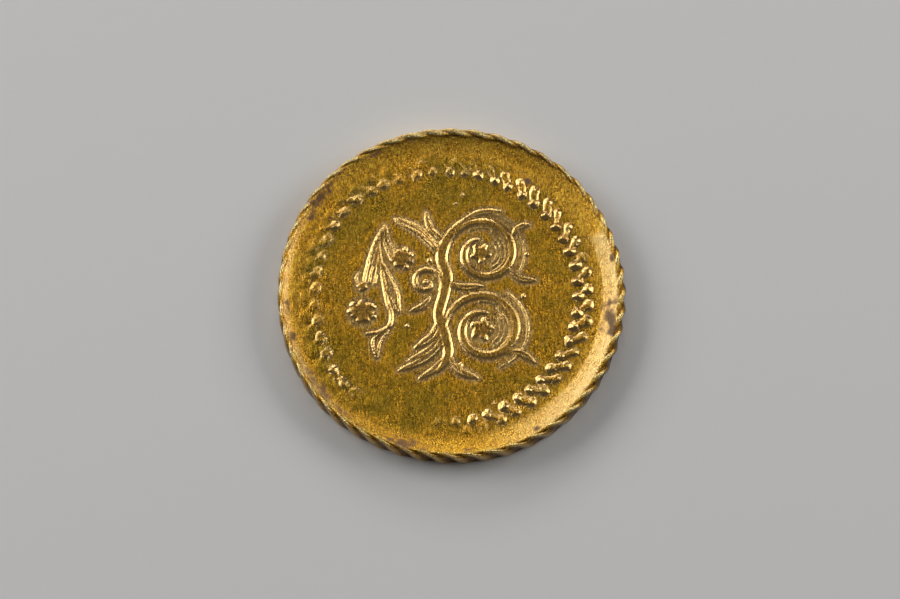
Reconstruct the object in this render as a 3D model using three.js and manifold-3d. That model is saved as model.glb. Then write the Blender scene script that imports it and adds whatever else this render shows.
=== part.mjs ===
// A struck gold coin with a rope-twist edge, lying on its reverse.
// Millimetres, +Z up, with the origin at the centre of the underside.
//
// The coin is one piece of metal: a thin plate, thickened round the edge into a raised lip whose
// outside is worked into a slanting rope. Inside the lip a slope runs down to the flat field,
// which carries a ring of twisted links, a flower sprig and a scrolling vine in low relief.

import * as THREE from 'three';
import { mergeVertices } from 'three/addons/utils/BufferGeometryUtils.js';
import Module from 'manifold-3d';

const wasm = await Module();
wasm.setup();

const deg = THREE.MathUtils.degToRad;

// ---------------------------------------------------------------- driving dimensions
const RADIUS = 9.5; // over the rope edge
const HEIGHT = 1.3; // over the lip, standing on the underside
const OBVERSE_DEPTH = 0.45; // from the lip down to the upper field
const REVERSE_DEPTH = 0.35; // from the underside up to the lower field
const OBVERSE_Z = HEIGHT - OBVERSE_DEPTH;
const REVERSE_Z = REVERSE_DEPTH;

const ROPE_STRANDS = 48; // slanting strands round the edge
const STEPS_PER_STRAND = 4;
const ROPE_DEPTH = 0.11; // mean depth of the grooves between strands
const ROPE_WEAR = 0.55; // how much deeper or shallower the grooves are on two opposite sides
const ROPE_DEEPEST = deg(-45); // where round the edge they are deepest
const ROPE_LEAN = 0.75; // sideways run of a strand for each millimetre along the section
const CROWDING = { at: deg(38), reach: deg(38), shift: deg(4.2) }; // strands cut closer here
const OVAL = { at: deg(-32), swell: 0.05 }; // the hand-cut blank is a little out of round

const LINKS = 50; // links of the twisted ring
const LINK_RING_RADIUS = 7.5;
const LINK_RING_CENTRE = new THREE.Vector2(-0.33, 0); // struck a little off the centre
const LINK_LENGTH = 0.9;
const LINK_WIDTH = 0.42;
const LINK_RELIEF = 0.17;
const LINK_TWIST = deg(45); // each link's turn from the radius

const RELIEF = 0.13; // of the sprig and the vine above the field
const REVERSE_RELIEF = 0.1;
const ROOT = 0.08; // how far each raised piece reaches down into the plate

const gold = new THREE.MeshStandardMaterial({
  name: 'gold', color: 0xc8962c, roughness: 0.35, metalness: 1.0,
});

// ---------------------------------------------------------------- solids and meshes
/** Turns a closed three.js geometry into a solid that can be joined or cut. */
function solidOf(geometry) {
  const bare = geometry.clone();
  bare.deleteAttribute('normal');
  bare.deleteAttribute('uv');
  const merged = mergeVertices(bare, 1e-5);
  const corners = merged.index.array;
  const kept = [];
  for (let i = 0; i < corners.length; i += 3) {
    const [a, b, c] = [corners[i], corners[i + 1], corners[i + 2]];
    if (a !== b && b !== c && c !== a) kept.push(a, b, c);
  }
  return new wasm.Manifold(new wasm.Mesh({
    numProp: 3,
    vertProperties: new Float32Array(merged.attributes.position.array),
    triVerts: new Uint32Array(kept),
  }));
}

/** Turns a solid back into a three.js geometry with flat-shaded faces. */
function geometryOf(solid) {
  const mesh = solid.getMesh();
  const geometry = new THREE.BufferGeometry();
  geometry.setAttribute('position', new THREE.BufferAttribute(mesh.vertProperties, 3));
  geometry.setIndex(new THREE.BufferAttribute(mesh.triVerts, 1));
  geometry.computeVertexNormals();
  return geometry;
}

// ---------------------------------------------------------------- the plate and its rope edge
/** Radius at which the upper field ends and the slope to the lip begins, widest slope at +X. */
function slopeFoot(angle) {
  return RADIUS * (0.897 - 0.035 * Math.cos(angle + 0.25));
}

/** How far the blank's outline stands outside or inside a true circle. */
function outOfRound(angle) {
  return OVAL.swell * Math.cos(2 * (angle - OVAL.at));
}

/** Depth of the groove at a place on the rope: 0 on a strand's crest, full between two strands. */
function ropeGroove(angle, along) {
  const crowded = CROWDING.shift * Math.exp(-(((angle - CROWDING.at) / CROWDING.reach) ** 2));
  const turn = angle + crowded + deg(0.3) - (ROPE_LEAN * along) / RADIUS;
  const depth = ROPE_DEPTH * (1 + ROPE_WEAR * Math.cos(angle - ROPE_DEEPEST));
  return depth * (1 - Math.abs(Math.cos((ROPE_STRANDS / 2) * turn)));
}

/**
 * The rings of the turned section, from the middle of the upper face round to the middle of the
 * lower one. rope is the share of a groove that the ring takes, along is how far it lies along
 * the section from the lip's inner edge, and foot marks the ring that follows the slope's foot.
 */
const SECTION = [
  { r: 0, z: OBVERSE_Z },
  { r: RADIUS * 0.897, z: OBVERSE_Z, foot: true },
  { r: RADIUS * 0.95, z: HEIGHT - 0.05, rope: 0.25, along: 0 },
  { r: RADIUS * 0.972, z: HEIGHT, rope: 0.35, along: 0.2 },
  { r: RADIUS * 0.992, z: HEIGHT * 0.86, rope: 0.9, along: 0.5 },
  { r: RADIUS, z: HEIGHT * 0.5, rope: 1, along: 0.95 },
  { r: RADIUS * 0.992, z: HEIGHT * 0.14, rope: 0.9, along: 1.4 },
  { r: RADIUS * 0.972, z: 0, rope: 0.4, along: 1.65 },
  { r: RADIUS * 0.925, z: 0 },
  { r: RADIUS * 0.88, z: REVERSE_Z },
  { r: 0, z: REVERSE_Z },
];

/** The plate turned on the lathe, then grooved into a rope and given its uneven slope. */
function makePlate() {
  const outline = SECTION.map(({ r, z }) => new THREE.Vector2(r, z)).reverse();
  const plate = new THREE.LatheGeometry(outline, ROPE_STRANDS * STEPS_PER_STRAND);
  plate.rotateX(Math.PI / 2);
  const place = plate.attributes.position;
  for (let i = 0; i < place.count; i += 1) {
    const ring = SECTION[SECTION.length - 1 - (i % SECTION.length)];
    if (ring.r === 0) continue;
    const angle = Math.atan2(place.getY(i), place.getX(i));
    const radius = ring.foot ? slopeFoot(angle)
      : ring.r + outOfRound(angle) - (ring.rope ?? 0) * ropeGroove(angle, ring.along ?? 0);
    place.setX(i, radius * Math.cos(angle));
    place.setY(i, radius * Math.sin(angle));
  }
  return solidOf(plate);
}

// ---------------------------------------------------------------- raised pieces
/** Stands an outline up from the field: top is above it, and the root is sunk into the plate. */
function raised(shape, relief) {
  return new THREE.ExtrudeGeometry(shape, { depth: relief + ROOT, bevelEnabled: false })
    .translate(0, 0, OBVERSE_Z - ROOT);
}

/** A ribbon along a curve that swells from a thin tip at each end; fullness keeps it wide for longer. */
function ribbon(curve, steps, width, fullness) {
  const tip = 0.06;
  const left = [];
  const right = [];
  for (let i = 0; i <= steps; i += 1) {
    const t = i / steps;
    const at = curve.getPoint(t);
    const along = curve.getTangent(t);
    const half = (tip + (width - tip) * (1 - Math.abs(2 * t - 1) ** fullness)) / 2;
    left.push(new THREE.Vector2(at.x - along.y * half, at.y + along.x * half));
    right.unshift(new THREE.Vector2(at.x + along.y * half, at.y - along.x * half));
  }
  return new THREE.Shape([...left, ...right]);
}

/** A smooth curve through a few places, given as [x, y] pairs. */
function through(...places) {
  return new THREE.SplineCurve(places.map(([x, y]) => new THREE.Vector2(x, y)));
}

/** A volute that winds from its outer end in to its eye; turns below 0 wind clockwise. */
class Volute extends THREE.Curve {
  constructor(x, y, outer, inner, start, turns) {
    super();
    Object.assign(this, { x, y, outer, inner, start, turns });
  }

  getPoint(t, target = new THREE.Vector2()) {
    const angle = this.start + 2 * Math.PI * this.turns * t;
    const radius = this.outer + (this.inner - this.outer) * t;
    return target.set(this.x + radius * Math.cos(angle), this.y + radius * Math.sin(angle));
  }
}

/** A pointed leaf between two places, bowed sideways by bow times its length. */
function leaf(from, to, width, bow = 0) {
  const [x, y] = [(from[0] + to[0]) / 2, (from[1] + to[1]) / 2];
  const [dx, dy] = [to[0] - from[0], to[1] - from[1]];
  return ribbon(through(from, [x - dy * bow, y + dx * bow], to), 6, width, 2);
}

/** A small blossom: a disc whose edge swells into petals. */
function blossom(x, y, radius, petals) {
  const steps = petals * 4;
  const edge = [];
  for (let i = 0; i < steps; i += 1) {
    const angle = (2 * Math.PI * i) / steps;
    const reach = radius * (0.86 + 0.14 * Math.cos(petals * angle));
    edge.push(new THREE.Vector2(x + reach * Math.cos(angle), y + reach * Math.sin(angle)));
  }
  return new THREE.Shape(edge);
}

/** The flower sprig at the left: a stem, four leaves, a bud and two blossoms. */
function sprigShapes() {
  const stem = through([-3.66, 3.95], [-3.9, 2.98], [-3.76, 1.66], [-3.6, 0.57], [-3.42, -0.4],
    [-3.2, -1.1], [-3.32, -1.75], [-3.95, -2.12], [-4.55, -2.17]);
  return [
    [ribbon(stem, 16, 0.24, 6), 1.0],
    [leaf([-3.72, 3.7], [-4.66, 0.66], 0.46, -0.05), 0.85],
    [leaf([-3.62, 3.85], [-3.2, 2.0], 0.3, -0.04), 0.8],
    [leaf([-3.78, 1.8], [-2.78, -0.95], 0.42, 0.07), 0.7],
    [leaf([-3.5, -2.0], [-3.98, -3.52], 0.36, -0.12), 0.85],
    [blossom(-2.74, 2.13, 0.56, 6), 1.1],
    [blossom(-4.78, -1.0, 0.6, 6), 1.1],
    [blossom(-4.8, 0.56, 0.24, 3), 0.9],
  ];
}

/** The scrolling vine to the right of the sprig: a waving stem, volutes, leaves and blossoms. */
function vineShapes() {
  const stem = through([-0.75, -4.4], [-0.15, -3.4], [-0.3, -2.3], [-0.62, -1.1], [-0.35, 0.1],
    [-0.2, 1.1], [-0.5, 2.2], [-0.15, 3.3], [0.7, 4.35]);
  return [
    [ribbon(stem, 16, 0.46, 6), 1.1],
    [ribbon(new Volute(1.85, -1.95, 2.2, 0.78, deg(190), -1.45), 30, 0.38, 6), 1.0],
    [ribbon(new Volute(1.8, 2.4, 2.15, 0.7, deg(196), -1.42), 28, 0.34, 6), 0.95],
    [ribbon(new Volute(-1.35, 0.75, 0.9, 0.3, deg(-35), 1.1), 14, 0.26, 6), 0.9],
    [blossom(1.85, -1.95, 0.46, 5), 1.15],
    [blossom(1.8, 2.4, 0.4, 5), 1.05],
    [leaf([-0.5, 2.3], [-3.05, 4.4], 0.52, -0.1), 0.9],
    [leaf([-0.3, 3.1], [-1.35, 4.75], 0.36, 0.14), 0.8],
    [leaf([0.5, 4.15], [2.75, 4.85], 0.3, 0.1), 0.85],
    [leaf([-0.5, -1.2], [-1.95, -3.0], 0.46, 0.14), 0.9],
    [leaf([-0.2, -2.4], [-2.8, -4.25], 0.42, 0.1), 0.85],
    [leaf([-0.2, -3.3], [1.5, -4.7], 0.42, -0.14), 0.85],
    [leaf([3.2, 1.5], [4.65, 0.85], 0.36, -0.16), 0.8],
    [leaf([2.75, -3.3], [4.6, -3.85], 0.36, 0.16), 0.8],
    [leaf([-0.25, 0.75], [1.75, 0.55], 0.36, -0.1), 0.75],
  ];
}

/** One ring of twisted links: flattened beads, each turned from the radius by the same angle. */
function linkRing(fieldZ, relief, side, facets) {
  const links = [];
  for (let i = 0; i < LINKS; i += 1) {
    const angle = (2 * Math.PI * i) / LINKS;
    const bead = new THREE.SphereGeometry(1, facets, 4);
    bead.rotateX(Math.PI / 2);
    bead.scale(LINK_LENGTH / 2, LINK_WIDTH / 2, relief + 0.02);
    bead.rotateZ(angle + LINK_TWIST * side);
    bead.translate(
      LINK_RING_CENTRE.x + LINK_RING_RADIUS * Math.cos(angle),
      LINK_RING_CENTRE.y + LINK_RING_RADIUS * Math.sin(angle),
      fieldZ - 0.02 * side,
    );
    links.push(solidOf(bead));
  }
  return links;
}

/** The plain eight-petalled flower in the middle of the reverse, standing down from its field. */
function reverseFlower() {
  const petals = 8;
  const parts = [];
  for (let i = 0; i < petals; i += 1) {
    const petal = new THREE.SphereGeometry(1, 6, 4);
    petal.rotateX(Math.PI / 2);
    petal.scale(1.15, 0.42, REVERSE_RELIEF + 0.02);
    petal.translate(1.75, 0, REVERSE_Z + 0.02);
    petal.rotateZ((2 * Math.PI * i) / petals);
    parts.push(solidOf(petal));
  }
  const eye = new THREE.SphereGeometry(1, 8, 4);
  eye.rotateX(Math.PI / 2);
  eye.scale(0.45, 0.45, REVERSE_RELIEF + 0.04);
  eye.translate(0, 0, REVERSE_Z + 0.02);
  parts.push(solidOf(eye));
  return parts;
}

// ---------------------------------------------------------------- the coin
function makeCoin() {
  let coin = makePlate();
  const raisedPieces = [...sprigShapes(), ...vineShapes()]
    .map(([shape, share]) => solidOf(raised(shape, RELIEF * share)));
  const pieces = [
    ...raisedPieces,
    ...linkRing(OBVERSE_Z, LINK_RELIEF, 1, 8),
    ...linkRing(REVERSE_Z, REVERSE_RELIEF, -1, 6),
    ...reverseFlower(),
  ];
  for (const piece of pieces) coin = coin.add(piece);
  const mesh = new THREE.Mesh(geometryOf(coin), gold);
  mesh.name = 'coin';
  return mesh;
}

const model = new THREE.Group();
model.name = 'gold_coin';
model.add(makeCoin());

export default model;
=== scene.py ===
"""A struck gold coin with a rope-twist edge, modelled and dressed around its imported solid."""

import logging
import math
from dataclasses import dataclass, field
from enum import Enum

import bpy
import numpy as np
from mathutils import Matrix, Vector


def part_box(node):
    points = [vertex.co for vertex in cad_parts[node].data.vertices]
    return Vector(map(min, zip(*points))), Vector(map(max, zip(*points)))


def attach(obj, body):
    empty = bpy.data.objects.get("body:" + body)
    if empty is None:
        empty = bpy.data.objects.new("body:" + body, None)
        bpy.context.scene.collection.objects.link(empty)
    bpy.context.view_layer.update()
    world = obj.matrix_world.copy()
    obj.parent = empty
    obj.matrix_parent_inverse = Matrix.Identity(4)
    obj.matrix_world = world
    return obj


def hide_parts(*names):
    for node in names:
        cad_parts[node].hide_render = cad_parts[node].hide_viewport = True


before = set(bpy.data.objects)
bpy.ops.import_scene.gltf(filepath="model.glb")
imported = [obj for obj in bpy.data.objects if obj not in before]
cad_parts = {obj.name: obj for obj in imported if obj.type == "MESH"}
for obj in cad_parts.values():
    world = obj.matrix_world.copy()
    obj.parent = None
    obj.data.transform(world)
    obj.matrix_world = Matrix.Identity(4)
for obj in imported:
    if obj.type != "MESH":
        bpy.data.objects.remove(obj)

logging.basicConfig(level=logging.INFO, format="%(message)s")
log = logging.getLogger("coin")

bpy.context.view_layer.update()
COIN_NODE = "coin"
BODY = "root"

# The coin's driving sizes, in millimetres. One millimetre in metres follows from the solid.
RADIUS = 9.5
HEIGHT = 1.3
OBVERSE_Z = 0.85
REVERSE_Z = 0.35
MM = (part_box(COIN_NODE)[1][2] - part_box(COIN_NODE)[0][2]) / HEIGHT

Array = np.ndarray
Colour = tuple[float, float, float, float]
Bells = tuple[tuple[float, float, float], ...]
Socket = bpy.types.NodeSocket


# ---------------------------------------------------------------- plain helpers on arrays
def smoothstep(low: float, high: float, value: Array | float) -> Array:
    """Rises smoothly from 0 at low to 1 at high: 3t^2 - 2t^3 of the clipped share t.

    Args:
        low: Where the step starts.
        high: Where it ends; below low, the step falls.
        value: The numbers to look up.

    Returns:
        The share, 0 to 1, for each number.
    """
    t = np.clip((value - low) / (high - low), 0.0, 1.0)
    return t * t * (3.0 - 2.0 * t)


def turned(angle: Array, centre_deg: float) -> Array:
    """Angle from a direction, wrapped to between minus and plus 180 degrees, in degrees."""
    return (np.degrees(angle) - centre_deg + 180.0) % 360.0 - 180.0


def round_bump(angle: Array, centre_deg: float, reach_deg: float) -> Array:
    """A bell round the coin: exp(-(angle from the centre / reach)^2)."""
    return np.exp(-((turned(angle, centre_deg) / reach_deg) ** 2))


def bumps(angle: Array, *bells: tuple[float, float, float]) -> Array:
    """The sum of a few bells round the coin, each given by its size, centre and reach."""
    return sum(size * round_bump(angle, centre, reach) for size, centre, reach in bells)


def on_circle(radius: Array | float, angle: Array) -> tuple[Array, Array]:
    """The x and y of places at a radius and an angle."""
    return radius * np.cos(angle), radius * np.sin(angle)


def places_of(x: Array, y: Array, z: Array | float = 0.0) -> Array:
    """Places as rows of x, y and z, where a single z stands for all."""
    return np.stack(np.broadcast_arrays(x, y, z), 1)


def lattice(ix: Array, iy: Array, iz: Array, seed: int) -> Array:
    """A fixed pseudo-random number, 0 to 1, for every corner of a whole-number lattice.

    Args:
        ix, iy, iz: Whole-number places of the corners.
        seed: Picks the pattern.

    Returns:
        The numbers.
    """
    mixed = (ix * 374761393 + iy * 668265263 + iz * 1440662683 + seed * 1274126177) & 0xFFFFFFFF
    mixed = ((mixed ^ (mixed >> 13)) * 1274126177) & 0xFFFFFFFF
    return ((mixed ^ (mixed >> 16)) & 0xFFFF) / 65535.0


def value_noise(points: Array, size: float, seed: int) -> Array:
    """Smooth noise: lattice numbers a cell apart, blended by smoothstep along x, y and z.

    Args:
        points: Places, one row of x, y, z each, in millimetres.
        size: The lattice's cell, in millimetres.
        seed: Picks the pattern.

    Returns:
        One number, -1 to 1, for each place.
    """
    scaled = points / size
    base = np.floor(scaled).astype(np.int64)
    part = scaled - base
    part = part * part * (3.0 - 2.0 * part)
    total = np.zeros(len(points))
    for dx in (0, 1):
        for dy in (0, 1):
            for dz in (0, 1):
                share = (np.abs(1 - dx - part[:, 0]) * np.abs(1 - dy - part[:, 1])
                         * np.abs(1 - dz - part[:, 2]))
                corner = lattice(base[:, 0] + dx, base[:, 1] + dy, base[:, 2] + dz, seed)
                total += share * corner
    return 2.0 * total - 1.0


def cloud(points: Array, size: float, octaves: int, seed: int) -> Array:
    """Noise in octaves: each is half the size and half the strength of the one before.

    Args:
        points: Places, one row of x, y, z each.
        size: Cell of the first octave, in millimetres.
        octaves: How many to add up.
        seed: Picks the pattern.

    Returns:
        One number, -1 to 1, for each place.
    """
    total = np.zeros(len(points))
    for octave in range(octaves):
        total += value_noise(points, size / 2**octave, seed + octave) / 2**octave
    return total / (2.0 - 0.5 ** (octaves - 1))


def linked(name: str, data: bpy.types.ID) -> bpy.types.Object:
    """A new object with that name and data, linked to the scene.

    Args:
        name: Its name.
        data: Its mesh, light or camera.

    Returns:
        The object.
    """
    made = bpy.data.objects.new(name, data)
    bpy.context.collection.objects.link(made)
    return made


# ---------------------------------------------------------------- curves of the relief
def smooth_path(places: list[tuple[float, float]], steps: int) -> Array:
    """A Catmull-Rom curve through a few places: each stretch is a cubic set by four neighbours.

    Args:
        places: The x, y places that the curve passes through.
        steps: How many points to work out.

    Returns:
        The curve's points, one row of x, y each.
    """
    p = np.array(places, float)
    p = np.vstack([p[0], p, p[-1]])
    t = np.linspace(0.0, len(places) - 1.0, steps)
    i = np.minimum(t.astype(int), len(places) - 2)
    f = (t - i)[:, None]
    a, b, c, d = p[i], p[i + 1], p[i + 2], p[i + 3]
    return 0.5 * (2 * b + (c - a) * f + (2 * a - 5 * b + 4 * c - d) * f**2
                  + (3 * b - a - 3 * c + d) * f**3)


def volute_path(x: float, y: float, outer: float, inner: float, start: float, turns: float,
                steps: int = 72) -> Array:
    """A spiral whose radius falls evenly from outer to inner; turns below 0 wind clockwise.

    Args:
        x, y: The eye.
        outer, inner: Its radius at the start and at the end.
        start: The angle that it starts at, in degrees.
        turns: How many turns it makes.
        steps: How many points to work out.

    Returns:
        The spiral's points.
    """
    t = np.linspace(0.0, 1.0, steps)
    angle = math.radians(start) + 2 * math.pi * turns * t
    radius = outer + (inner - outer) * t
    return np.stack([x + radius * np.cos(angle), y + radius * np.sin(angle)], 1)


def leaf_path(start: tuple[float, float], end: tuple[float, float], bow: float) -> Array:
    """A leaf's middle line, bowed sideways at its middle by bow times its length.

    Args:
        start, end: The leaf's ends.
        bow: Its bow, as a share of its length.

    Returns:
        The line's points.
    """
    (x0, y0), (x1, y1) = start, end
    middle = ((x0 + x1) / 2 - (y1 - y0) * bow, (y0 + y1) / 2 + (x1 - x0) * bow)
    return smooth_path([start, middle, end], 17)


@dataclass(frozen=True)
class Stroke:
    """A raised line of the relief.

    Attributes:
        path: The line's points, in millimetres on the field.
        width: Its greatest width.
        relief: Its height over the field.
        fullness: How soon it swells to its width; 2 is a leaf, 6 is a line with short tips.
        groove: Depth of the groove along its middle.
        tip: Its width at both ends.
    """

    path: Array
    width: float
    relief: float
    fullness: float = 6.0
    groove: float = 0.0
    tip: float = 0.06

    def reach(self, x: Array, y: Array, margin: float) -> Array:
        """Which of the places lie in the stroke's box, grown by a margin.

        Args:
            x, y: The places.
            margin: How far to grow the box, in millimetres.

        Returns:
            Indices of those places.
        """
        low = self.path.min(0) - margin - self.width
        high = self.path.max(0) + margin + self.width
        return np.nonzero((x > low[0]) & (x < high[0]) & (y > low[1]) & (y < high[1]))[0]

    def measure(self, x: Array, y: Array) -> tuple[Array, Array]:
        """Distance from the middle line and half the width at its nearest point.

        The nearest point is looked for on each straight piece of the line in turn.

        Args:
            x, y: The places.

        Returns:
            The distances and the half widths, in millimetres.
        """
        best = np.full(len(x), 1e9)
        share = np.zeros(len(x))
        pieces = len(self.path) - 1
        for i in range(pieces):
            a, b = self.path[i], self.path[i + 1]
            run = b - a
            t = ((x - a[0]) * run[0] + (y - a[1]) * run[1]) / max(float(run @ run), 1e-12)
            t = np.clip(t, 0.0, 1.0)
            away = np.hypot(x - a[0] - t * run[0], y - a[1] - t * run[1])
            nearer = away < best
            best[nearer] = away[nearer]
            share[nearer] = ((i + t) / pieces)[nearer]
        half = (self.tip + (self.width - self.tip) * (1 - np.abs(2 * share - 1) ** self.fullness)) / 2
        return best, half


@dataclass(frozen=True)
class Blossom:
    """A small flower of the relief: a lobed flat lump with a few beads at its edge.

    Attributes:
        x, y: Its middle.
        radius: Its reach.
        petals: How many petals it has.
        relief: Its height over the field.
        beads: Directions of the beads at its edge, in degrees.
        turn: How far its petals are turned, as a phase in radians.
    """

    x: float
    y: float
    radius: float
    petals: int
    relief: float
    beads: tuple[float, ...] = ()
    turn: float = 0.7

    def lobed(self, x: Array, y: Array) -> Array:
        """Distance from the middle over the lobed edge's own distance that way.

        Args:
            x, y: The places.

        Returns:
            The share, 1 at the edge.
        """
        dx, dy = x - self.x, y - self.y
        edge = self.radius * (0.90 + 0.10 * np.cos(self.petals * np.arctan2(dy, dx) + self.turn))
        return np.hypot(dx, dy) / edge

    def height(self, x: Array, y: Array) -> Array:
        """A lump with sloping sides, notched between its petals, and a bead at each place asked.

        Args:
            x, y: The places.

        Returns:
            The height, in millimetres.
        """
        share = self.lobed(x, y)
        angle = np.arctan2(y - self.y, x - self.x)
        body = np.clip((1.0 - share) / 0.24, 0.0, 1.0)
        vein = (0.5 - 0.5 * np.cos(self.petals * angle + self.turn)) ** 2 * smoothstep(0.2, 0.5, share)
        ring = np.exp(-(((share - 0.40) / 0.12) ** 2))
        total = np.maximum(self.relief * body * (1.0 - 0.30 * vein - 0.18 * ring), 0.0)
        for way in self.beads:
            out_x, out_y = on_circle(0.88 * self.radius, math.radians(way))
            away = np.hypot(x - self.x - out_x, y - self.y - out_y) / (0.28 * self.radius)
            total = np.maximum(total, 1.35 * self.relief * np.clip(1.1 - away, 0.0, 1.0))
        return total


@dataclass(frozen=True)
class Relief:
    """A group of strokes, blossoms and beads that the die raised from the field.

    Attributes:
        strokes: The raised lines and leaves.
        blossoms: The small flowers.
        beads: The x, y and radius of each bead.
        flank: Width of the strokes' sloping sides.
        halo: How far the nearness to relief reaches.
        bead_relief: Height of a bead over the field.
    """

    strokes: tuple[Stroke, ...]
    blossoms: tuple[Blossom, ...] = ()
    beads: tuple[tuple[float, float, float], ...] = ()
    flank: float = 0.115
    halo: float = 0.38
    bead_relief: float = 0.09

    def nearness(self, away: Array) -> Array:
        """Falls as a bell from 1 where the distance from a raised piece is 0 or less."""
        return np.exp(-((np.maximum(away, 0) / self.halo) ** 2))

    def raise_from(self, x: Array, y: Array) -> tuple[Array, Array]:
        """Works out the height and how close each place is to the relief.

        A stroke is a flat top whose sides fall in a straight line over the flank's width, less a
        narrow groove along its middle. Where pieces meet, the higher one shows.

        Args:
            x, y: The places on the field, in millimetres.

        Returns:
            The height over the field, and a share that falls from 1 at the relief to 0.
        """
        height = np.zeros(len(x))
        near = np.zeros(len(x))
        for stroke in self.strokes:
            inside = stroke.reach(x, y, 0.9)
            away, half = stroke.measure(x[inside], y[inside])
            top = np.clip((half + 0.5 * self.flank - away) / self.flank, 0.0, 1.0)
            groove = stroke.groove * np.exp(-((away / 0.055) ** 2)) * smoothstep(0.05, 0.14, half)
            height[inside] = np.maximum(height[inside], stroke.relief * top - groove)
            near[inside] = np.maximum(near[inside], self.nearness(away - half))
        for blossom in self.blossoms:
            height = np.maximum(height, blossom.height(x, y))
            away = np.hypot(x - blossom.x, y - blossom.y) - blossom.radius
            near = np.maximum(near, self.nearness(away))
        for middle_x, middle_y, radius in self.beads:
            away = np.hypot(x - middle_x, y - middle_y) / radius
            height = np.maximum(height, self.bead_relief * np.clip(1.6 * (1 - away), 0, 1))
        return height, near


def leaf(start: tuple[float, float], end: tuple[float, float], width: float, bow: float,
         relief: float, groove: float = 0.05) -> Stroke:
    """A pointed leaf with a groove along its middle."""
    return Stroke(leaf_path(start, end, bow), width, relief, fullness=2.0, groove=groove, tip=0.05)


def line(places: list[tuple[float, float]], width: float, relief: float) -> Stroke:
    """A thin raised line through a few places."""
    return Stroke(smooth_path(places, 8 * len(places)), width, relief)


def flower_sprig() -> Relief:
    """The sprig at the left: a curling stem, ribbed leaves, a bud and two blossoms.

    Returns:
        The sprig's pieces.
    """
    stem = smooth_path([(-3.66, 3.95), (-3.9, 2.98), (-3.76, 1.66), (-3.6, 0.57), (-3.42, -0.4),
                        (-3.2, -1.1), (-3.32, -1.75), (-3.95, -2.12), (-4.55, -2.17)], 80)
    return Relief(
        strokes=(
            Stroke(stem, 0.22, 0.085),
            line([(-3.7, 3.8), (-4.1, 3.0), (-4.45, 1.9), (-4.72, 0.60)], 0.17, 0.112),
            line([(-3.78, 3.4), (-4.02, 2.6), (-4.22, 1.7), (-4.42, 0.7)], 0.12, 0.089),
            line([(-3.84, 3.0), (-3.93, 2.2), (-4.0, 1.4), (-4.12, 0.62)], 0.11, 0.083),
            line([(-3.60, 4.0), (-3.64, 3.2), (-3.42, 2.5), (-3.16, 1.95)], 0.13, 0.094),
            line([(-3.48, 3.9), (-3.38, 3.2), (-3.05, 2.6), (-3.10, 2.05)], 0.09, 0.089),
            line([(-3.74, 1.9), (-3.20, 0.96), (-2.86, 0.17), (-2.76, -0.95)], 0.12, 0.099),
            line([(-3.70, 1.5), (-3.45, 0.5), (-3.12, -0.25), (-2.80, -0.95)], 0.09, 0.078),
            line([(-3.55, 1.2), (-3.22, 0.4), (-2.98, -0.4)], 0.07, 0.042),
            line([(-3.62, -2.05), (-4.2, -2.6), (-4.0, -3.55)], 0.12, 0.094),
            line([(-3.36, -2.0), (-3.80, -2.7), (-3.95, -3.55)], 0.10, 0.083),
            line([(-4.95, 1.3), (-5.12, 1.0), (-5.02, 0.7)], 0.10, 0.078),
        ),
        blossoms=(
            Blossom(-2.68, 2.10, 0.62, 6, 0.10, beads=(68.0, 22.0, -18.0, -62.0)),
            Blossom(-4.78, -0.95, 0.74, 7, 0.10, beads=(178.0, 142.0, 28.0, -22.0)),
            Blossom(-4.80, 0.50, 0.30, 4, 0.10, beads=(40.0,)),
        ),
    )


def arc(x: float, y: float, radius: float, start: float, sweep: float, width: float, relief: float,
        narrow: float = 0.0) -> Stroke:
    """A thin raised arc round (x, y) from one angle over a sweep in degrees, drawing in by narrow."""
    path = volute_path(x, y, radius, radius - narrow, start, sweep / 360.0, 26)
    return Stroke(path, width, relief, fullness=3.0)


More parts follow.
